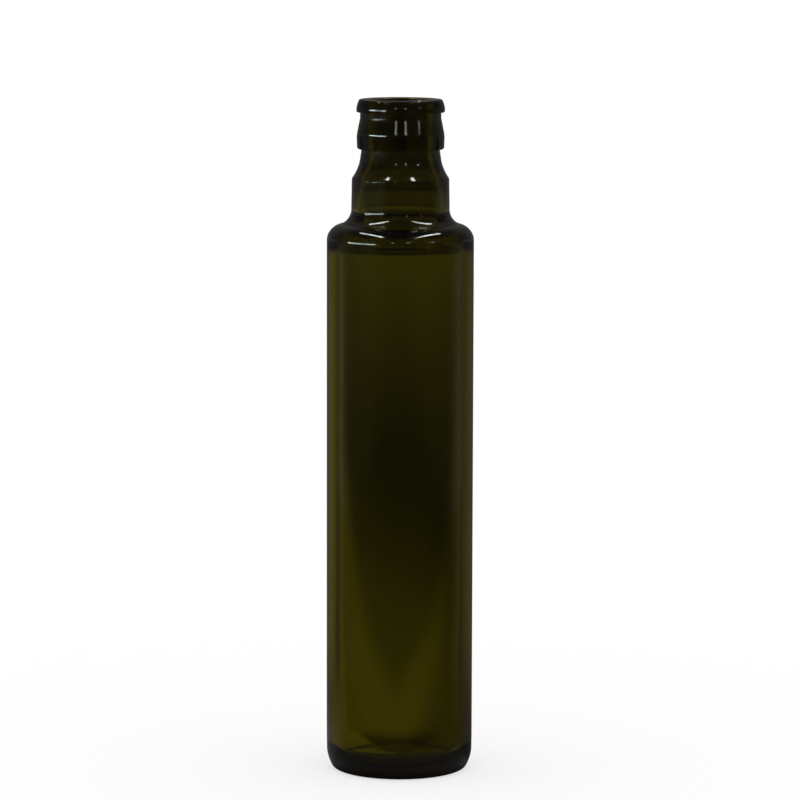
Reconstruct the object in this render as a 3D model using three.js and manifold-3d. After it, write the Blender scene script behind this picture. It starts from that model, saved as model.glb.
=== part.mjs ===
// Empty oil bottle in dark olive glass: a tall cylinder, a rounded shoulder and a stepped neck.
// Millimetres, +Z up. The origin is the middle of the base, on the surface that the bottle stands on.
import * as THREE from "three";
import { mergeVertices } from "three/addons/utils/BufferGeometryUtils.js";
import Module from "manifold-3d";

const wasm = await Module();
wasm.setup();

// Driving dimensions
const HEIGHT = 230.6;
const BODY_RADIUS = 25;
const WALL = 4.1;
const BASE_THICKNESS = 3.6;

// Foot and heel
const PUNT_DEPTH = 1.2;
const PUNT_RADIUS = 17.5;
const PUNT_ROUNDING = 3;
const RING_INNER_RADIUS = 19;
const RING_INNER_ROUNDING = 1;
const FOOT_RADIUS = 22.65;
const FOOT_ROUNDING = 1.85;
const HEEL_HEIGHT = 3.55;
const HEEL_ROUNDING = 10.8;

// Shoulder, whose convex arc runs straight into the concave arc under the collar
const SHOULDER_HEIGHT = 187.05;
const SHOULDER_RISE = 1.95;
const SHOULDER_ROUNDING = 5.35;
const SHOULDER_FILLET = 5.2;

// Collar, the wide lower half of the neck, and the waist that narrows above it
const COLLAR_FOOT_RADIUS = 16.75;
const COLLAR_RADIUS = 16.5;
const COLLAR_TOP = 203.85;
const COLLAR_ROUNDING = 1.45;
const WAIST_FOOT_RADIUS = 14.2;
const WAIST_FOOT_HEIGHT = 206.85;
const WAIST_ROUNDING = 12.4;
const WAIST_RADIUS = 13.25;

// Bead, the round band that a cap grips under, and the two lands on its lower half
const BEAD_BOTTOM = 213.65;
const BEAD_FOOT_RADIUS = 14.3;
const BEAD_FOOT_ROUNDING = 0.7;
const BEAD_RADIUS = 14.9;
const BEAD_WIDEST = 218.8;
const BEAD_ROUNDING = 4.1;
const LAND_RADIUS = 14.95;
const LAND_TOP = 218.35;
const LAND_FOOT_ROUNDING = 1.1;
const LAND_DEPTH = 1.2;
const LAND_HALF_ANGLE = THREE.MathUtils.degToRad(28.5);
const LAND_TURN = THREE.MathUtils.degToRad(-4.75);

// Groove over the bead, and the lip
const GROOVE_RADIUS = 13.8;
const GROOVE_FOOT = 224.2;
const GROOVE_ROUNDING = 2.65;
const LIP_RADIUS = 15.05;
const LIP_THICKNESS = 4.35;
const LIP_EDGE = 0.4;
const LIP_SLOPE_DEPTH = 2.45;
const LIP_SLOPE_ROUNDING = 5.1;
const LIP_TOP_RADIUS = 14.15;
const LIP_TOP_ROUNDING = 0.7;

// Inside of the neck
const MOUTH_RADIUS = 9.7;
const MOUTH_ROUNDING = 0.9;
const THROAT_RADIUS = 9.3;
const THROAT_HEIGHT = 210.2;
const THROAT_ROUNDING = 14.3;
const COLLAR_WALL = 3.2;
const COLLAR_INNER_HEIGHT = 201;
const COLLAR_INNER_ROUNDING = 12.2;
const INNER_SHOULDER_ROUNDING = 5.6;
const INNER_SHOULDER_FILLET = 4.2;
const INNER_HEEL_ROUNDING = 5;

const SEGMENTS = 48;
const ARC_STEP = THREE.MathUtils.degToRad(30);

// A corner of an outline, at a radius and a height, rounded to a radius or left sharp.
function corner(radius, height, rounding = 0) {
  return { at: new THREE.Vector2(radius, height), rounding };
}

// The points of one corner between its neighbours: the corner itself, or an arc tangent to both sides.
function roundedCorner(before, { at, rounding }, after) {
  if (!rounding) return [at];
  const toBefore = before.clone().sub(at).normalize();
  const toAfter = after.clone().sub(at).normalize();
  const halfAngle = Math.acos(toBefore.dot(toAfter)) / 2;
  const middle = toBefore.clone().add(toAfter).normalize();
  const centre = at.clone().addScaledVector(middle, rounding / Math.sin(halfAngle));
  const start = at.clone().addScaledVector(toBefore, rounding / Math.tan(halfAngle));
  const turn = Math.PI - 2 * halfAngle;
  const side = Math.sign(toBefore.cross(toAfter));
  const steps = Math.max(2, Math.ceil(turn / ARC_STEP));
  const points = [];
  for (let i = 0; i <= steps; i++) {
    points.push(start.clone().rotateAround(centre, (-side * turn * i) / steps));
  }
  return points;
}

// An outline through its corners. A closed one comes back to its first point.
function outline(corners, closed = false) {
  const count = corners.length;
  const points = corners.flatMap((here, i) => {
    const before = corners[(i + count - 1) % count].at;
    const after = corners[(i + 1) % count].at;
    return roundedCorner(before, here, after);
  });
  return closed ? [...points, points[0].clone()] : points;
}

// The outline turned about the +Z axis.
function turned(points) {
  return new THREE.LatheGeometry(points, SEGMENTS).rotateX(Math.PI / 2);
}

// A solid for joining and cutting, from a closed geometry.
function solid(geometry) {
  geometry.deleteAttribute("normal");
  geometry.deleteAttribute("uv");
  const merged = mergeVertices(geometry);
  const mesh = new wasm.Mesh({
    numProp: 3,
    vertProperties: merged.getAttribute("position").array,
    triVerts: Uint32Array.from(merged.index.array),
  });
  return new wasm.Manifold(mesh);
}

// A geometry with flat normals, from a solid.
function geometryOf(shape) {
  const { vertProperties, triVerts } = shape.getMesh();
  const geometry = new THREE.BufferGeometry();
  geometry.setAttribute("position", new THREE.BufferAttribute(vertProperties, 3));
  geometry.setIndex(new THREE.BufferAttribute(triVerts, 1));
  const faceted = geometry.toNonIndexed();
  faceted.computeVertexNormals();
  return faceted;
}

// Underside and outside, from the middle of the punt up to the lip.
function outsideCorners() {
  return [
    corner(0, PUNT_DEPTH),
    corner(PUNT_RADIUS, PUNT_DEPTH, PUNT_ROUNDING),
    corner(RING_INNER_RADIUS, 0, RING_INNER_ROUNDING),
    corner(FOOT_RADIUS, 0, FOOT_ROUNDING),
    corner(BODY_RADIUS, HEEL_HEIGHT, HEEL_ROUNDING),
    corner(BODY_RADIUS, SHOULDER_HEIGHT, SHOULDER_ROUNDING),
    corner(COLLAR_FOOT_RADIUS, SHOULDER_HEIGHT + SHOULDER_RISE, SHOULDER_FILLET),
    corner(COLLAR_RADIUS, COLLAR_TOP, COLLAR_ROUNDING),
    corner(WAIST_FOOT_RADIUS, WAIST_FOOT_HEIGHT, WAIST_ROUNDING),
    corner(WAIST_RADIUS, BEAD_BOTTOM),
    corner(BEAD_FOOT_RADIUS, BEAD_BOTTOM, BEAD_FOOT_ROUNDING),
    corner(BEAD_RADIUS, BEAD_WIDEST, BEAD_ROUNDING),
    corner(GROOVE_RADIUS, GROOVE_FOOT, GROOVE_ROUNDING),
    corner(GROOVE_RADIUS, HEIGHT - LIP_THICKNESS),
    corner(LIP_RADIUS, HEIGHT - LIP_THICKNESS, LIP_EDGE),
    corner(LIP_RADIUS, HEIGHT - LIP_SLOPE_DEPTH, LIP_SLOPE_ROUNDING),
    corner(LIP_TOP_RADIUS, HEIGHT, LIP_TOP_ROUNDING),
  ];
}

// Inside, from the mouth down to the middle of the base.
function insideCorners() {
  const bodyRadius = BODY_RADIUS - WALL;
  const collarRadius = COLLAR_RADIUS - COLLAR_WALL;
  const slope = SHOULDER_RISE / (BODY_RADIUS - COLLAR_FOOT_RADIUS);
  const shoulder = SHOULDER_HEIGHT + WALL * slope - WALL * Math.hypot(1, slope);
  const collarFoot = shoulder + (bodyRadius - collarRadius) * slope;
  const floor = PUNT_DEPTH + BASE_THICKNESS;
  return [
    corner(MOUTH_RADIUS, HEIGHT, MOUTH_ROUNDING),
    corner(THROAT_RADIUS, THROAT_HEIGHT, THROAT_ROUNDING),
    corner(collarRadius, COLLAR_INNER_HEIGHT, COLLAR_INNER_ROUNDING),
    corner(collarRadius, collarFoot, INNER_SHOULDER_FILLET),
    corner(bodyRadius, shoulder, INNER_SHOULDER_ROUNDING),
    corner(bodyRadius, floor, INNER_HEEL_ROUNDING),
    corner(0, floor),
  ];
}

// One land: the turned band of the lands, kept only within a wedge that opens towards the given angle.
function land(angle) {
  const band = solid(
    turned(
      outline(
        [
          corner(LAND_RADIUS - LAND_DEPTH, BEAD_BOTTOM),
          corner(LAND_RADIUS, BEAD_BOTTOM, LAND_FOOT_ROUNDING),
          corner(LAND_RADIUS, LAND_TOP),
          corner(LAND_RADIUS - LAND_DEPTH, LAND_TOP),
        ],
        true,
      ),
    ),
  );
  const reach = 2 * LAND_RADIUS;
  const edges = [-LAND_HALF_ANGLE, 0, LAND_HALF_ANGLE].map((turn) =>
    new THREE.Vector2(reach, 0).rotateAround(new THREE.Vector2(), angle + turn),
  );
  const wedge = new THREE.ExtrudeGeometry(new THREE.Shape([new THREE.Vector2(), ...edges]), {
    depth: HEIGHT,
    bevelEnabled: false,
  });
  return band.intersect(solid(wedge));
}

// The bottle: one piece of glass, hollow and open at the mouth, with a land on each side of the bead.
function bottle() {
  const body = solid(turned(outline([...outsideCorners(), ...insideCorners()])));
  const shape = body.add(land(LAND_TURN)).add(land(Math.PI + LAND_TURN));
  const glass = new THREE.MeshStandardMaterial({ color: 0x2b2704, roughness: 0.06, metalness: 0 });
  const mesh = new THREE.Mesh(geometryOf(shape), glass);
  mesh.name = "bottle";
  return mesh;
}

const oilBottle = new THREE.Group();
oilBottle.add(bottle());

export default oilBottle;
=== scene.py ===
"""Oil bottle in dark olive glass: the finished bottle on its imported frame, on a plain pale stage."""
import math

import bmesh
import bpy
from bpy.props import FloatProperty, FloatVectorProperty, IntProperty, PointerProperty
from bpy.types import Operator, Panel, PropertyGroup
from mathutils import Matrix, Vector


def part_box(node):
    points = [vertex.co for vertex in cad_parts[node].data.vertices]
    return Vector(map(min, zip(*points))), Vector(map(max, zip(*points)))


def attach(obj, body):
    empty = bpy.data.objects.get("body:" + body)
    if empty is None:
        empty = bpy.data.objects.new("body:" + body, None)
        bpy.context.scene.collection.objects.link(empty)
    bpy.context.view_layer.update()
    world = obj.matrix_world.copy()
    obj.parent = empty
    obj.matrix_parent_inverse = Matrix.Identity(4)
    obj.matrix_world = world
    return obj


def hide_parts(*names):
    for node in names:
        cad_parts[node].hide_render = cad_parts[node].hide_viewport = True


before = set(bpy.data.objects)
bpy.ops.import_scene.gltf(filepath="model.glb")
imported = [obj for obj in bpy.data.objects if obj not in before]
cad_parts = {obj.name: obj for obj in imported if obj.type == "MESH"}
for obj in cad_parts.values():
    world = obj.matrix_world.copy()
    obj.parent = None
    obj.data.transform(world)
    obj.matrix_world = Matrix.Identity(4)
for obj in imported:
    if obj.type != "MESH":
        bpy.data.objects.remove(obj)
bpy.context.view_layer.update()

bl_info = {
    "name": "Oil bottle",
    "version": (1, 0, 0),
    "blender": (4, 5, 0),
    "location": "View3D > Sidebar > Bottle",
    "description": "Blows an empty olive-glass oil bottle and sets it on a pale stage",
    "category": "Object",
}

MM = 0.001
TOUCH = 0.01 * MM
NODE = "bottle"
_, FRAME_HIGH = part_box(NODE)

# How finely the straight runs of the outline are divided
INNER_CUTS = 60
OUTER_CUTS = 40
RING_CUTS = 4

# How far the floor and the table lie under the bottle, so that no two faces share a plane
FLOOR_DROP = 0.05 * MM
TABLE_DROP = 0.1 * MM

# What the glass sees of its stage: lengths in metres, and light as a share of the white backdrop
# Light that a value of 1 stands for in the ramps of the table
RAMP_LIGHT = 0.1
# Ramp of the table behind the bottle and then up its backboard, over BOARD_RUN metres
BOARD_RUN = 0.5
BOARD_STOPS = (
    (0.05, 0.35), (0.065, 0.65), (0.085, 0.85), (0.34, 1), (0.55, 0.95), (0.6, 0.87), (0.63, 0.65),
    (0.66, 0.46), (0.69, 0.34), (0.718, 0.28), (0.75, 0.28), (0.79, 0.31), (0.836, 0.38), (0.87, 0.5),
    (0.9, 0.64),
)
# Ramp of both to the sides of the bottle, from left to right
SIDE_STOPS = (
    (0.025, 0.15), (0.067, 0.3), (0.117, 0.6), (0.2, 1.8), (0.34, 3), (0.5, 2.2), (0.66, 1.7),
    (0.8, 1), (0.883, 0.6), (0.933, 0.3), (0.97, 0.15),
)
# Painted light and shade of the card behind the neck, from its foot to its top
CARD_STOPS = ((0.06, 0.022), (0.1, 0.014), (0.13, 0.004), (0.18, 0.004), (0.22, 0.008))


def length(name, description, millimetres):
    """A length that a user may change, given in millimetres and kept in metres."""
    return FloatProperty(
        name=name, description=description, default=millimetres * MM, unit="LENGTH", precision=5
    )


def angle(name, description, degrees):
    """An angle that a user may change, given in degrees and kept in radians."""
    return FloatProperty(
        name=name, description=description, default=math.radians(degrees), subtype="ANGLE"
    )


def colour(name, description, value):
    """A linear colour that a user may change."""
    return FloatVectorProperty(
        name=name, description=description, default=value, subtype="COLOR", min=0, soft_max=1
    )


class BodySizes(PropertyGroup):
    """Foot, heel, body and shoulder."""

    radius: length("Body radius", "Outside of the straight body", FRAME_HIGH.x / MM)
    wall: length("Wall", "Thickness of the body's wall", 4.1)
    base_thickness: length("Base", "Thickness of the base over the punt", 3.6)
    punt_depth: length("Punt depth", "Height of the hollow under the base", 1.2)
    punt_radius: length("Punt radius", "Flat middle of the punt", 17.5)
    punt_rounding: length("Punt rounding", "Where the punt turns down", 3)
    ring_radius: length("Ring inside", "Inner edge of the standing ring", 19)
    ring_rounding: length("Ring rounding", "Inner edge of the standing ring", 1)
    foot_radius: length("Foot radius", "Where the standing ring meets the heel", 22.65)
    foot_rounding: length("Foot rounding", "Outer edge of the standing ring", 1.85)
    heel_height: length("Heel height", "Where the heel's cone would meet the wall", 3.55)
    heel_rounding: length("Heel rounding", "Heel into wall", 10.8)
    shoulder_height: length("Shoulder height", "Where the shoulder would meet the wall", 187.05)
    shoulder_rise: length("Shoulder rise", "From the wall to the collar", 1.95)
    shoulder_rounding: length("Shoulder rounding", "Wall into shoulder", 5.35)
    shoulder_fillet: length("Shoulder fillet", "Shoulder into collar", 5.2)
    inner_rounding: length("Inner shoulder rounding", "Inside, wall into shoulder", 5.6)
    inner_fillet: length("Inner shoulder fillet", "Inside, shoulder into collar", 4.2)
    inner_heel: length("Inner heel", "Inside, wall into base", 5)


class NeckSizes(PropertyGroup):
    """Collar, waist, bead, lands, groove, lip and bore."""

    top: length("Height", "Top of the lip", FRAME_HIGH.z / MM)
    collar_foot: length("Collar foot radius", "Collar at the shoulder", 16.75)
    collar_radius: length("Collar radius", "Collar at its top corner", 16.5)
    collar_top: length("Collar top", "Height of the collar's top corner", 203.85)
    collar_rounding: length("Collar rounding", "Top corner of the collar", 1.45)
    waist_foot: length("Waist foot radius", "Where the waist begins to spread", 14.2)
    waist_height: length("Waist height", "Where the waist begins to spread", 206.85)
    waist_rounding: length("Waist rounding", "Hollow curve of the waist", 12.4)
    waist_radius: length("Waist radius", "Waist under the bead", 13.25)
    bead_bottom: length("Bead bottom", "Underside of the bead", 213.65)
    bead_foot: length("Bead foot radius", "Bead at its underside", 14.3)
    bead_foot_rounding: length("Bead foot rounding", "Lower edge of the bead", 0.7)
    bead_radius: length("Bead radius", "Bead where it is widest", 14.9)
    bead_widest: length("Bead widest", "Height where the bead is widest", 218.8)
    bead_rounding: length("Bead rounding", "Bead where it is widest", 4.1)
    land_radius: length("Land radius", "Outside of the two lands", 14.95)
    land_top: length("Land top", "Upper end of the lands", 218.35)
    land_rounding: length("Land rounding", "Lower edge of the lands", 1.1)
    land_half_angle: angle("Land half angle", "Half of what a land spans", 28.5)
    land_turn: angle("Land turn", "How far the lands are turned about the axis", -4.75)
    groove_radius: length("Groove radius", "Groove under the lip", 13.8)
    groove_foot: length("Groove foot", "Where the bead runs into the groove", 224.2)
    groove_rounding: length("Groove rounding", "Bead into groove", 2.65)
    crease_rounding: length("Crease rounding", "Inner corners under the bead and the lip", 0.3)
    lip_radius: length("Lip radius", "Lip where it is widest", 15.05)
    lip_thickness: length("Lip thickness", "Height of the lip", 4.35)
    lip_edge: length("Lip edge", "Lower edge of the lip", 0.4)
    lip_slope_depth: length("Lip slope depth", "Below the top, where the lip slopes in", 2.45)
    lip_slope_rounding: length("Lip slope rounding", "Where the lip slopes in", 5.1)
    lip_top_radius: length("Lip top radius", "Outer edge of the lip's top", 14.15)
    lip_top_rounding: length("Lip top rounding", "Outer edge of the lip's top", 0.7)
    mouth_radius: length("Mouth radius", "Bore at the mouth", 9.7)
    mouth_rounding: length("Mouth rounding", "Inner edge of the lip", 0.9)
    throat_radius: length("Throat radius", "Bore where it is narrowest", 9.3)
    throat_height: length("Throat height", "Where the bore is narrowest", 210.2)
    throat_rounding: length("Throat rounding", "Where the bore is narrowest", 14.3)
    collar_wall: length("Collar wall", "Thickness of the collar's wall", 3.2)
    inner_collar: length("Inner collar height", "Where the bore meets the collar's inside", 201)
    inner_collar_rounding: length("Inner collar rounding", "Bore into collar", 12.2)


class GlassFinish(PropertyGroup):
    """How the glass was moulded, and how it takes up light."""

    columns: IntProperty(name="Columns", description="Faces round the bottle", default=192)
    seam: length("Seam", "Height of the two mould seams", 0.07)
    knurl: length("Knurl", "Depth of the grooves across the standing ring", 0.25)
    waves: length("Waves", "How uneven the inside of the wall is", 0.12)
    wave_size: length("Wave size", "Width of the waves in the wall", 45)
    tint: colour("Tint", "Light that the glass lets through", (0.846, 0.812, 0.077))
    depth: FloatProperty(name="Depth", description="Strength of the tint per metre", default=650)
    index: FloatProperty(name="Index", description="Index of refraction", default=1.52)
    polish: FloatProperty(name="Polish", description="Roughness of clean glass", default=0.09)
    smudge: FloatProperty(name="Smudge", description="Roughness that handling adds", default=0.03)


class StageSetup(PropertyGroup):
    """Camera, floor, table, card and room."""

    camera_distance: length("Camera distance", "From the axis, along -Y", 1393.3)
    camera_height: length("Camera height", "Above the floor", 309.25)
    camera_pitch: angle("Camera pitch", "How far the camera looks down", 7.423)
    camera_roll: angle("Camera roll", "Turn about the line of sight", 0.14)
    camera_lens: FloatProperty(name="Lens", description="Millimetres on 36 mm", default=184.65)
    floor_size: length("Floor size", "Side of the floor", 9000)
    floor_colour: colour("Floor", "Pale floor", (0.99, 0.99, 0.99))
    backdrop: FloatProperty(name="Backdrop", description="White around the bottle", default=1.02)
    table_size: length("Table size", "Side of the table that only the glass sees", 1200)
    board_distance: length("Board distance", "From the axis back to the table's board", 300)
    board_height: length("Board height", "Height of the table's board", 155.5)
    card_size: length("Card size", "Side of the dark card behind the neck", 160)
    card_distance: length("Card distance", "From the axis back to the dark card", 50)
    card_foot: length("Card foot", "Height of the dark card's lower edge", 190)
    lamp_distance: length("Lamp distance", "From the neck to each lamp", 1500)


class Corner:
    """A corner of an outline: a radius, a height and how far it is rounded."""

    def __init__(self, radius, height, rounding=0.0):
        self.place = Vector((radius, 0, height))
        self.rounding = rounding


class Wire:
    """A node's output. Sums and products of wires add Math nodes to their tree."""

    def __init__(self, socket):
        self.socket = socket

    @classmethod
    def node(cls, tree, kind, settings=None, inputs=None, output=0):
        """Add a node of a kind: its settings first, then the values or links of its sockets."""
        made = tree.nodes.new(kind)
        for name, value in (settings or {}).items():
            if name == "stops":
                cls._fill_ramp(made.color_ramp, value)
            else:
                setattr(made, name, value)
        for name, value in (inputs or {}).items():
            if isinstance(value, Wire):
                tree.links.new(value.socket, made.inputs[name])
            else:
                made.inputs[name].default_value = value
        return cls(made.outputs[output]) if made.outputs else made

    @staticmethod
    def _fill_ramp(ramp, stops):
        """Set a colour ramp's stops from pairs of a place and a grey value."""
        ramp.elements.remove(ramp.elements[1])
        for place, grey in stops:
            ramp.elements.new(place).color = (grey, grey, grey, 1)
        ramp.elements.remove(ramp.elements[0])

    def math(self, operation, *values):
        """Join this wire and other values by a Math node."""
        inputs = dict(enumerate((self, *values)))
        return Wire.node(self.socket.id_data, "ShaderNodeMath", {"operation": operation}, inputs)

    def __add__(self, other):
        return self.math("ADD", other)

    __radd__ = __add__

    def __mul__(self, other):
        return self.math("MULTIPLY", other)

    __rmul__ = __mul__

    def __sub__(self, other):
        return self.math("SUBTRACT", other)

    def __rsub__(self, other):
        return (self * -1) + other

    def __truediv__(self, other):
        return self.math("DIVIDE", other)

    def ramp(self, stops):
        """Read a colour ramp of grey stops at this value."""
        inputs = {"Fac": self}
        return Wire.node(self.socket.id_data, "ShaderNodeValToRGB", {"stops": stops}, inputs)

    def blend(self, other, share):
        """This value where share is 0, the other where it is 1, and a mix of both between."""
        return self + (other - self) * share

    def between(self, low, high):
        """0 below low, 1 above high, and a smooth rise between them."""
        inputs = {"Value": self, "From Min": low, "From Max": high}
        settings = {"interpolation_type": "SMOOTHSTEP"}
        return Wire.node(self.socket.id_data, "ShaderNodeMapRange", settings, inputs)


def outside_corners(body, neck):
    """The underside and the outside, from the middle of the punt up to the lip."""
    lip_bottom = neck.top - neck.lip_thickness
    return [
        Corner(0, body.punt_depth),
        Corner(body.punt_radius, body.punt_depth, body.punt_rounding),
        Corner(body.ring_radius, 0, body.ring_rounding),
        Corner(body.foot_radius, 0, body.foot_rounding),
        Corner(body.radius, body.heel_height, body.heel_rounding),
        Corner(body.radius, body.shoulder_height, body.shoulder_rounding),
        Corner(neck.collar_foot, body.shoulder_height + body.shoulder_rise, body.shoulder_fillet),
        Corner(neck.collar_radius, neck.collar_top, neck.collar_rounding),
        Corner(neck.waist_foot, neck.waist_height, neck.waist_rounding),
        Corner(neck.waist_radius, neck.bead_bottom, neck.crease_rounding),
        Corner(neck.bead_foot, neck.bead_bottom, neck.bead_foot_rounding),
        Corner(neck.bead_radius, neck.bead_widest, neck.bead_rounding),
        Corner(neck.groove_radius, neck.groove_foot, neck.groove_rounding),
        Corner(neck.groove_radius, lip_bottom, neck.crease_rounding),
        Corner(neck.lip_radius, lip_bottom, neck.lip_edge),
        Corner(neck.lip_radius, neck.top - neck.lip_slope_depth, neck.lip_slope_rounding),
        Corner(neck.lip_top_radius, neck.top, neck.lip_top_rounding),
    ]


def inside_corners(body, neck):
    """The inside, from the mouth down to the middle of the base."""
    wall_radius = body.radius - body.wall
    collar_radius = neck.collar_radius - neck.collar_wall
    slope = body.shoulder_rise / (body.radius - neck.collar_foot)
    shoulder = body.shoulder_height + body.wall * slope - body.wall * math.hypot(1, slope)
    collar_foot = shoulder + (wall_radius - collar_radius) * slope
    base = body.punt_depth + body.base_thickness
    return [
        Corner(neck.mouth_radius, neck.top, neck.mouth_rounding),
        Corner(neck.throat_radius, neck.throat_height, neck.throat_rounding),
        Corner(collar_radius, neck.inner_collar, neck.inner_collar_rounding),
        Corner(collar_radius, collar_foot, body.inner_fillet),
        Corner(wall_radius, shoulder, body.inner_rounding),
        Corner(wall_radius, base, body.inner_heel),
        Corner(0, base),
    ]


def pick(piece, test):
    """Select, in edit mode, only the vertices whose place passes a test."""
    bpy.ops.mesh.select_all(action="DESELECT")
    mesh = bmesh.from_edit_mesh(piece.data)
    for vertex in mesh.verts:
        vertex.select_set(test(vertex.co))
    mesh.select_flush_mode()
    bmesh.update_edit_mesh(piece.data)


def draw_outline(name, corners):
    """Draw corners as a chain of edges in the plane of +X and +Z, and stay in edit mode."""
    bpy.ops.object.select_all(action="DESELECT")
    bpy.ops.mesh.primitive_plane_add(size=MM)
    piece = bpy.context.object
    piece.name = name
    piece.data.name = name
    bpy.ops.object.mode_set(mode="EDIT")
    bpy.ops.mesh.select_mode(type="VERT")
    bpy.ops.mesh.select_all(action="SELECT")
    bpy.ops.mesh.merge(type="CENTER")
    bpy.ops.transform.translate(value=corners[0].place)
    for before, after in zip(corners, corners[1:]):
        step = after.place - before.place
        bpy.ops.mesh.extrude_vertices_move(TRANSFORM_OT_translate={"value": step})
    return piece


def round_corners(piece, corners):
    """Bevel each corner of an outline to its rounding."""
    arc_step = math.radians(7)
    for before, corner, after in zip(corners, corners[1:], corners[2:]):
        if not corner.rounding:
            continue
        half = (before.place - corner.place).angle(after.place - corner.place) / 2
        segments = max(3, math.ceil((math.pi - 2 * half) / arc_step))
        pick(piece, lambda place: (place - corner.place).length < TOUCH)
        bpy.ops.mesh.bevel(
            offset=corner.rounding / math.tan(half), segments=segments, affect="VERTICES"
        )


def split_run(piece, low, high, test, cuts):
    """Divide the straight run of an outline between two heights, on the side that a test names."""
    pick(piece, lambda place: low - TOUCH < place.z < high + TOUCH and test(place))
    bpy.ops.mesh.subdivide(number_cuts=cuts)


def spin_outline(piece, columns):
    """Turn an outline about the axis into a closed shell with its faces pointing out of the glass."""
    bpy.ops.mesh.select_all(action="SELECT")
    bpy.ops.mesh.spin(steps=columns, angle=math.tau, center=(0, 0, 0), axis=(0, 0, 1))
    bpy.ops.mesh.select_all(action="SELECT")
    bpy.ops.mesh.remove_doubles(threshold=TOUCH / 10)
    bpy.ops.mesh.normals_make_consistent(inside=False)


def turn_from(place, direction):
    """The angle about the axis from a direction to a place, from minus to plus half a turn."""
    turn = math.atan2(place.y, place.x) - direction
    return (turn + math.pi) % math.tau - math.pi


def raise_land(piece, neck, direction):
    """Push a sector of the bead's lower half out to the outline of a land."""
    inner = neck.land_radius - neck.land_rounding

    def land_at(height):
        below = max(0, neck.land_rounding - (height - neck.bead_bottom))
        return inner + math.sqrt(neck.land_rounding**2 - below**2)

    def on_land(place):
        on_bead = neck.bead_bottom + TOUCH < place.z < neck.land_top
        outside = place.xy.length > neck.groove_radius - neck.crease_rounding
        return on_bead and outside and abs(turn_from(place, direction)) < neck.land_half_angle

    mesh = bmesh.from_edit_mesh(piece.data)
    rows = {round(v.co.z / TOUCH): v.co.copy() for v in mesh.verts if on_land(v.co)}
    for row in rows.values():
        pick(piece, lambda place: abs(place.z - row.z) < TOUCH and on_land(place))
        grow = max(1, land_at(row.z) / row.xy.length)
        bpy.ops.transform.resize(value=(grow, grow, 1), center_override=(0, 0, 0))


def raise_seam(piece, body, neck, height, direction):
    """Lift one column of the outside, from the heel to the waist, as the seam of the mould's halves."""
    half_column = math.pi / piece["columns"]
    foot = body.heel_height + body.heel_rounding / 2

    def on_seam(place):
        outside = place.xy.length > neck.waist_radius - TOUCH and foot < place.z < neck.bead_bottom
        wall_side = place.z > body.shoulder_height or place.xy.length > body.radius - body.wall / 2
        return outside and wall_side and abs(turn_from(place, direction)) < half_column

    pick(piece, on_seam)
    lift = (height * math.cos(direction), height * math.sin(direction), 0)
    bpy.ops.transform.translate(value=lift)


def cut_knurls(piece, body, depth, columns):
    """Press a narrow groove across the standing ring at every fourth column."""
    column = math.tau / columns
    inner = body.ring_radius + body.ring_rounding
    outer = body.foot_radius - body.foot_rounding

    def on_groove(place):
        on_ring = place.z < TOUCH and inner < place.xy.length < outer
        return on_ring and round(math.atan2(place.y, place.x) / column) % 4 == 0

    pick(piece, on_groove)
    bpy.ops.transform.translate(value=(0, 0, depth))


def wave_inside(piece, body, finish):
    """Make the inside of the wall gently uneven, as blown glass is."""
    low = body.punt_depth + body.base_thickness + TOUCH
    high = body.shoulder_height - body.wall
    wall_radius = body.radius - body.wall
    pick(piece, lambda place: low < place.z < high and place.xy.length < wall_radius + TOUCH)
    bpy.ops.object.vertex_group_add()
    bpy.ops.object.vertex_group_assign()
    bpy.ops.object.mode_set(mode="OBJECT")
    texture = bpy.data.textures.new("wall waves", "CLOUDS")
    texture.noise_scale = finish.wave_size
    texture.noise_depth = 1
    bpy.ops.object.modifier_add(type="DISPLACE")
    waves = piece.modifiers[-1]
    waves.texture = texture
    waves.texture_coords = "LOCAL"
    waves.vertex_group = piece.vertex_groups.active.name
    waves.strength = finish.waves
    bpy.ops.object.modifier_apply(modifier=waves.name)
    piece.vertex_groups.clear()
    bpy.data.textures.remove(texture)


def start_material(name):
    """A new material and its empty node tree."""
    material = bpy.data.materials.new(name)
    material.use_nodes = True
    material.node_tree.nodes.clear()
    return material, material.node_tree


def parts_of(tree, coordinate):
    """The X, Y and Z of a texture coordinate."""
    vector = {"Vector": Wire.node(tree, "ShaderNodeTexCoord", output=coordinate)}
    return [Wire.node(tree, "ShaderNodeSeparateXYZ", inputs=vector, output=axis) for axis in "XYZ"]


def surfaces_crossed(tree):
    """How many surfaces of the glass a ray has passed through."""
    return Wire.node(tree, "ShaderNodeLightPath", output="Transmission Depth")


def mirrored(tree):
    """1 for what the outside of the glass mirrors, and 0 for what is seen through the glass."""
    return 1 - surfaces_crossed(tree).math("MINIMUM", 1)


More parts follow.
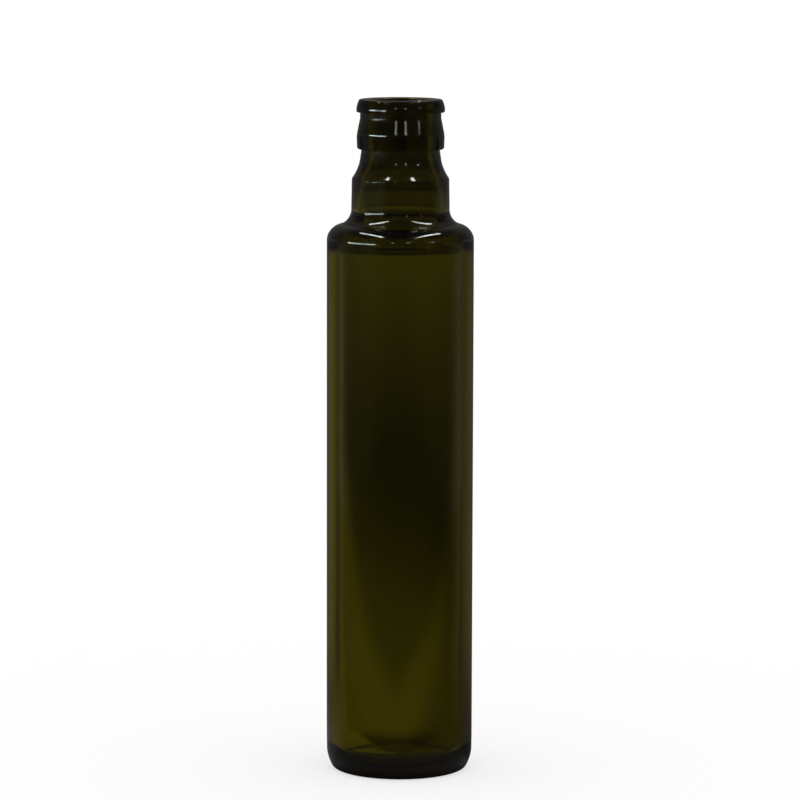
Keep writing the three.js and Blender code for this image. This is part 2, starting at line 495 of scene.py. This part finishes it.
def olive_glass(finish):
    """Clear glass with an olive tint that deepens with its thickness, and faint smudges."""
    material, tree = start_material("olive_glass")
    place = Wire.node(tree, "ShaderNodeTexCoord", output="Object")
    smudges = Wire.node(
        tree, "ShaderNodeTexNoise", inputs={"Vector": place, "Scale": 45, "Detail": 5, "Roughness": 0.6}
    )
    peel = Wire.node(
        tree, "ShaderNodeTexNoise", inputs={"Vector": place, "Scale": 90, "Detail": 2}
    )
    roughness = finish.polish + smudges.between(0.5, 0.75) * finish.smudge
    relief = Wire.node(
        tree, "ShaderNodeBump", inputs={"Height": peel, "Strength": 0.015, "Distance": 0.3 * MM}
    )
    glass = Wire.node(
        tree,
        "ShaderNodeBsdfPrincipled",
        inputs={
            "Base Color": (1, 1, 1, 1),
            "Roughness": roughness,
            "IOR": finish.index,
            "Transmission Weight": 1,
            "Normal": relief,
        },
    )
    tint = Wire.node(
        tree,
        "ShaderNodeVolumeAbsorption",
        inputs={"Color": (*finish.tint, 1), "Density": finish.depth},
    )
    Wire.node(tree, "ShaderNodeOutputMaterial", inputs={"Surface": glass, "Volume": tint})
    return material


def pale_floor(stage):
    """Matt pale floor with a very faint unevenness."""
    material, tree = start_material("pale_floor")
    place = Wire.node(tree, "ShaderNodeTexCoord", output="Object")
    grain = Wire.node(tree, "ShaderNodeTexNoise", inputs={"Vector": place, "Scale": 400})
    relief = Wire.node(
        tree, "ShaderNodeBump", inputs={"Height": grain, "Strength": 0.05, "Distance": 0.2 * MM}
    )
    paint = (*stage.floor_colour, 1)
    matt = Wire.node(tree, "ShaderNodeBsdfDiffuse", inputs={"Color": paint, "Normal": relief})
    glow = Wire.node(tree, "ShaderNodeEmission", inputs={"Color": paint, "Strength": stage.backdrop})
    lit = Wire.node(tree, "ShaderNodeMixShader", inputs={0: 0.6, 1: matt, 2: glow})
    Wire.node(tree, "ShaderNodeOutputMaterial", inputs={"Surface": lit})
    return material


def shown_behind(x, y, z, across):
    """Light of the table and its board straight behind the bottle, with a shadow that widens away from it."""
    shadow_start = 0.13
    shadow_spread = 0.24
    shadow_climb = 4
    shadow_shift = 0.002
    shadow_edge = 0.015
    half_width = (y + z * shadow_climb - shadow_start) * shadow_spread
    from_middle = (x + shadow_shift).math("ABSOLUTE")
    shadow = 1 - (from_middle - half_width).between(-shadow_edge, shadow_edge)
    shade = shadow * 0.5 * (1 - z.between(0.06, 0.13))
    right_shade = across.between(0.02, 0.3) * 0.5 * (1 - z.between(0.03, 0.06))
    slant = x.math("MINIMUM", 0) * (1 - z.between(0.04, 0.09)) * 0.3
    run = y + z + slant
    return (run / BOARD_RUN).ramp(BOARD_STOPS) * RAMP_LIGHT * (1 - shade) * (1 - right_shade)


def shown_beside(distance, across):
    """Light of the table and its board to the sides, which the edges of the glass bring into view."""
    left_light = 0.13
    right_loss = 0.08
    close = left_light - across.between(0, 0.4) * right_loss
    away = (across * 0.5 + 0.5).ramp(SIDE_STOPS) * RAMP_LIGHT
    return close.blend(away, distance.between(0.1, 0.25))


def dim_table():
    """A glowing table with a low board at its back that only the glass sees; its light and shade are painted,
    and it is painted more evenly lit where the glass mirrors it.
    """
    front_light = 0.012
    foot_light = 0.1
    mirror_light = 0.015
    mirror_gain = 0.045
    material, tree = start_material("dim_table")
    x, y, z = parts_of(tree, "Object")
    distance = (x * x + y * y).math("SQRT")
    across = x / distance
    beyond = y / distance
    both_walls = surfaces_crossed(tree).math("GREATER_THAN", 2.5)
    middle = 1 - across.math("ABSOLUTE").between(0.4, 0.5)
    far = shown_beside(distance, across).blend(shown_behind(x, y, z, across), both_walls * middle)
    # Painted shade: the table stays dark under the bottle's foot, as in a contact shadow, with a painted ring
    # of light around it
    lit_ring_round_foot_shadow = distance.between(0.022, 0.028) * (1 - distance.between(0.04, 0.1))
    near = front_light + lit_ring_round_foot_shadow * foot_light
    seen = near.blend(far, beyond.between(-0.1, 0.2))
    reflected = mirror_light + beyond.between(-0.3, 0.4) * mirror_gain
    # Painted reflection: away from the foot, what the glass mirrors of the table is painted at its own, more
    # even light
    glow = seen.blend(reflected, mirrored(tree) * distance.between(0.05, 0.15))
    light = Wire.node(tree, "ShaderNodeEmission", inputs={"Color": glow})
    Wire.node(tree, "ShaderNodeOutputMaterial", inputs={"Surface": light})
    return material


def painted_shade_card(stage):
    """A dark card of painted shade that only the glass sees, glowing a little lighter at its sides, and
    painted lighter in what the glass mirrors.
    """
    side_light = 0.045
    mirror_light = 0.1
    material, tree = start_material("painted_shade_card")
    x, y, _ = parts_of(tree, "Object")
    middle = (y / stage.card_size + 0.5).ramp(CARD_STOPS)
    seen = middle.blend(side_light, x.math("ABSOLUTE").between(0.05, 0.07))
    # Painted reflection: what the glass mirrors of the card is painted lighter
    glow = seen.blend(mirror_light, mirrored(tree))
    light = Wire.node(tree, "ShaderNodeEmission", inputs={"Color": glow})
    Wire.node(tree, "ShaderNodeOutputMaterial", inputs={"Surface": light})
    return material


def room_light(stage):
    """White round the bottle, and for the glass alone a dark room that is a little lighter above."""
    dark_light = 0.01
    upper_light = 0.037
    side_light = 0.05
    mirror_light = 0.03
    mirror_gain = 0.1
    mirror_loss_above = 0.06
    world = bpy.data.worlds.new("room")
    world.use_nodes = True
    tree = world.node_tree
    tree.nodes.clear()
    across, beyond, up = parts_of(tree, "Generated")
    low_sides = across.math("ABSOLUTE").between(0.3, 0.6) * (1 - up.between(0.15, 0.35))
    seen = dark_light + up.between(0.05, 0.4) * upper_light + low_sides * side_light
    gain = mirror_gain - up.between(0.05, 0.2) * mirror_loss_above
    reflected = mirror_light + beyond.between(-0.3, 0.4) * gain
    light = seen.blend(reflected, mirrored(tree))
    dim = Wire.node(tree, "ShaderNodeBackground", inputs={"Color": light})
    white = Wire.node(
        tree, "ShaderNodeBackground", inputs={"Color": (1, 1, 1, 1), "Strength": stage.backdrop}
    )
    in_view = Wire.node(tree, "ShaderNodeLightPath", output="Is Camera Ray")
    lighting = Wire.node(tree, "ShaderNodeLightPath", output="Is Diffuse Ray")
    choice = Wire.node(
        tree, "ShaderNodeMixShader", inputs={0: in_view.math("MAXIMUM", lighting), 1: dim, 2: white}
    )
    Wire.node(tree, "ShaderNodeOutputWorld", inputs={"Surface": choice})
    return world


def lay_floor(stage):
    """Lay the pale floor, which the glass neither mirrors nor shows."""
    bpy.ops.mesh.primitive_plane_add(size=stage.floor_size, location=(0, 0, -FLOOR_DROP))
    floor = bpy.context.object
    floor.name = "floor"
    floor.data.materials.append(pale_floor(stage))
    floor.visible_glossy = False
    floor.visible_transmission = False


def show_only_in_glass(piece):
    """Hide a piece of the stage from everything but the glass."""
    piece.visible_camera = False
    piece.visible_diffuse = False
    piece.visible_shadow = False


def set_table(stage):
    """Set the dim table, with its back edge drawn up as a board."""
    bpy.ops.mesh.primitive_plane_add(
        size=stage.table_size, enter_editmode=True, location=(0, 0, -TABLE_DROP)
    )
    table = bpy.context.object
    table.name = "table"
    bpy.ops.transform.translate(value=(0, stage.board_distance - stage.table_size / 2, 0))
    pick(table, lambda place: place.y > 0)
    bpy.ops.mesh.extrude_region_move(TRANSFORM_OT_translate={"value": (0, 0, stage.board_height)})
    bpy.ops.object.mode_set(mode="OBJECT")
    table.data.materials.append(dim_table())
    show_only_in_glass(table)


def hang_card(stage):
    """Hang the card of painted shade behind the neck."""
    middle = (0, stage.card_distance, stage.card_foot + stage.card_size / 2)
    upright = (math.pi / 2, 0, 0)
    bpy.ops.mesh.primitive_plane_add(size=stage.card_size, location=middle, rotation=upright)
    card = bpy.context.object
    card.name = "card"
    card.data.materials.append(painted_shade_card(stage))
    show_only_in_glass(card)


def lamp(name, azimuth, elevation, width, height, radiance, tone=(1, 1, 1)):
    """A flat lamp that only the glass mirrors; degrees as seen from the neck, azimuth 0 at the camera."""
    turn = math.radians(azimuth)
    rise = math.radians(elevation)
    towards = Vector((math.sin(turn) * math.cos(rise), -math.cos(turn) * math.cos(rise), math.sin(rise)))
    neck = Vector((0, 0, bpy.context.scene.bottle_neck.collar_top))
    distance = bpy.context.scene.bottle_stage.lamp_distance
    bpy.ops.object.light_add(type="AREA", location=neck + towards * distance)
    flat = bpy.context.object
    flat.name = name
    flat.rotation_euler = towards.to_track_quat("Z", "Y").to_euler()
    flat.data.shape = "RECTANGLE"
    flat.data.size = 2 * distance * math.tan(math.radians(width) / 2)
    flat.data.size_y = 2 * distance * math.tan(math.radians(height) / 2)
    flat.data.energy = radiance * math.pi * flat.data.size * flat.data.size_y
    flat.data.color = tone
    flat.visible_diffuse = False
    flat.visible_transmission = False


def place_lamps():
    """Two long lamps over the sides, a low window on the left and three small lamps in front."""
    lamp("left_strip", azimuth=-80, elevation=61.6, width=45, height=4, radiance=18)
    lamp("right_strip", azimuth=77, elevation=61.6, width=45, height=4, radiance=18)
    daylight = (0.8, 0.95, 1)
    lamp("window", azimuth=-65, elevation=4, width=50, height=3.5, radiance=22, tone=daylight)
    for azimuth in (-13, 14, 53):
        lamp("ceiling_lamp", azimuth, elevation=20, width=4, height=6, radiance=4)


def place_camera(stage):
    """Place the camera in front of the bottle, looking slightly down at it."""
    bpy.ops.object.camera_add(location=(0, -stage.camera_distance, stage.camera_height))
    camera = bpy.context.object
    camera.rotation_mode = "ZYX"
    level = math.pi / 2
    camera.rotation_euler = (level - stage.camera_pitch, 0, stage.camera_roll)
    camera.data.lens = stage.camera_lens
    camera.data.sensor_width = 36
    bpy.context.scene.camera = camera


class OILBOTTLE_OT_glass(Operator):
    """Draw the bottle's outline, turn it, and finish it as moulded glass"""

    bl_idname = "oilbottle.glass"
    bl_label = "Glass bottle"

    def execute(self, context):
        scene = context.scene
        body, neck, finish = scene.bottle_body, scene.bottle_neck, scene.bottle_glass
        corners = outside_corners(body, neck) + inside_corners(body, neck)
        piece = draw_outline("glass_bottle", corners)
        round_corners(piece, corners)
        wall_radius = body.radius - body.wall
        inner_low = body.punt_depth + body.base_thickness + body.inner_heel
        split_run(
            piece,
            inner_low - MM,
            body.shoulder_height - body.inner_rounding,
            lambda place: abs(place.x - wall_radius) < TOUCH,
            INNER_CUTS,
        )
        split_run(
            piece,
            body.heel_height,
            body.shoulder_height,
            lambda place: abs(place.x - body.radius) < TOUCH,
            OUTER_CUTS,
        )
        ring_low = body.ring_radius + TOUCH
        split_run(piece, 0, 0, lambda place: place.x > ring_low, RING_CUTS)
        spin_outline(piece, finish.columns)
        piece["columns"] = finish.columns
        for side in (0, math.pi):
            raise_land(piece, neck, neck.land_turn + side)
            raise_seam(piece, body, neck, finish.seam, side)
        cut_knurls(piece, body, finish.knurl, finish.columns)
        wave_inside(piece, body, finish)
        bpy.ops.object.shade_smooth()
        bpy.ops.object.modifier_add(type="WEIGHTED_NORMAL")
        bpy.ops.object.modifier_apply(modifier=piece.modifiers[-1].name)
        piece.data.materials.append(olive_glass(finish))
        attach(piece, "root")
        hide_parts(NODE)
        return {"FINISHED"}


class OILBOTTLE_OT_stage(Operator):
    """Lay the floor, set what the glass sees round it, and place the lamps and the camera"""

    bl_idname = "oilbottle.stage"
    bl_label = "Stage"

    def execute(self, context):
        scene = context.scene
        stage = scene.bottle_stage
        bpy.ops.object.select_all(action="DESELECT")
        lay_floor(stage)
        set_table(stage)
        hang_card(stage)
        scene.world = room_light(stage)
        place_lamps()
        place_camera(stage)
        scene.view_settings.view_transform = "Standard"
        scene.cycles.max_bounces = 24
        scene.cycles.transmission_bounces = 24
        return {"FINISHED"}


class OILBOTTLE_PT_panel(Panel):
    """Buttons and sizes of the oil bottle"""

    bl_idname = "OILBOTTLE_PT_panel"
    bl_label = "Oil bottle"
    bl_space_type = "VIEW_3D"
    bl_region_type = "UI"
    bl_category = "Bottle"

    def draw(self, context):
        for operator in (OILBOTTLE_OT_glass, OILBOTTLE_OT_stage):
            self.layout.operator(operator.bl_idname)
        for name in GROUPS:
            group = getattr(context.scene, name)
            box = self.layout.box()
            for field in group.__annotations__:
                box.prop(group, field)


GROUPS = {
    "bottle_body": BodySizes,
    "bottle_neck": NeckSizes,
    "bottle_glass": GlassFinish,
    "bottle_stage": StageSetup,
}
CLASSES = (*GROUPS.values(), OILBOTTLE_OT_glass, OILBOTTLE_OT_stage, OILBOTTLE_PT_panel)


def register():
    for item in CLASSES:
        bpy.utils.register_class(item)
    for name, group in GROUPS.items():
        setattr(bpy.types.Scene, name, PointerProperty(type=group))


def unregister():
    for name in GROUPS:
        delattr(bpy.types.Scene, name)
    for item in reversed(CLASSES):
        bpy.utils.unregister_class(item)


def main():
    """Make the bottle and its stage."""
    register()
    bpy.ops.oilbottle.glass()
    bpy.ops.oilbottle.stage()


if __name__ == "__main__":
    main()
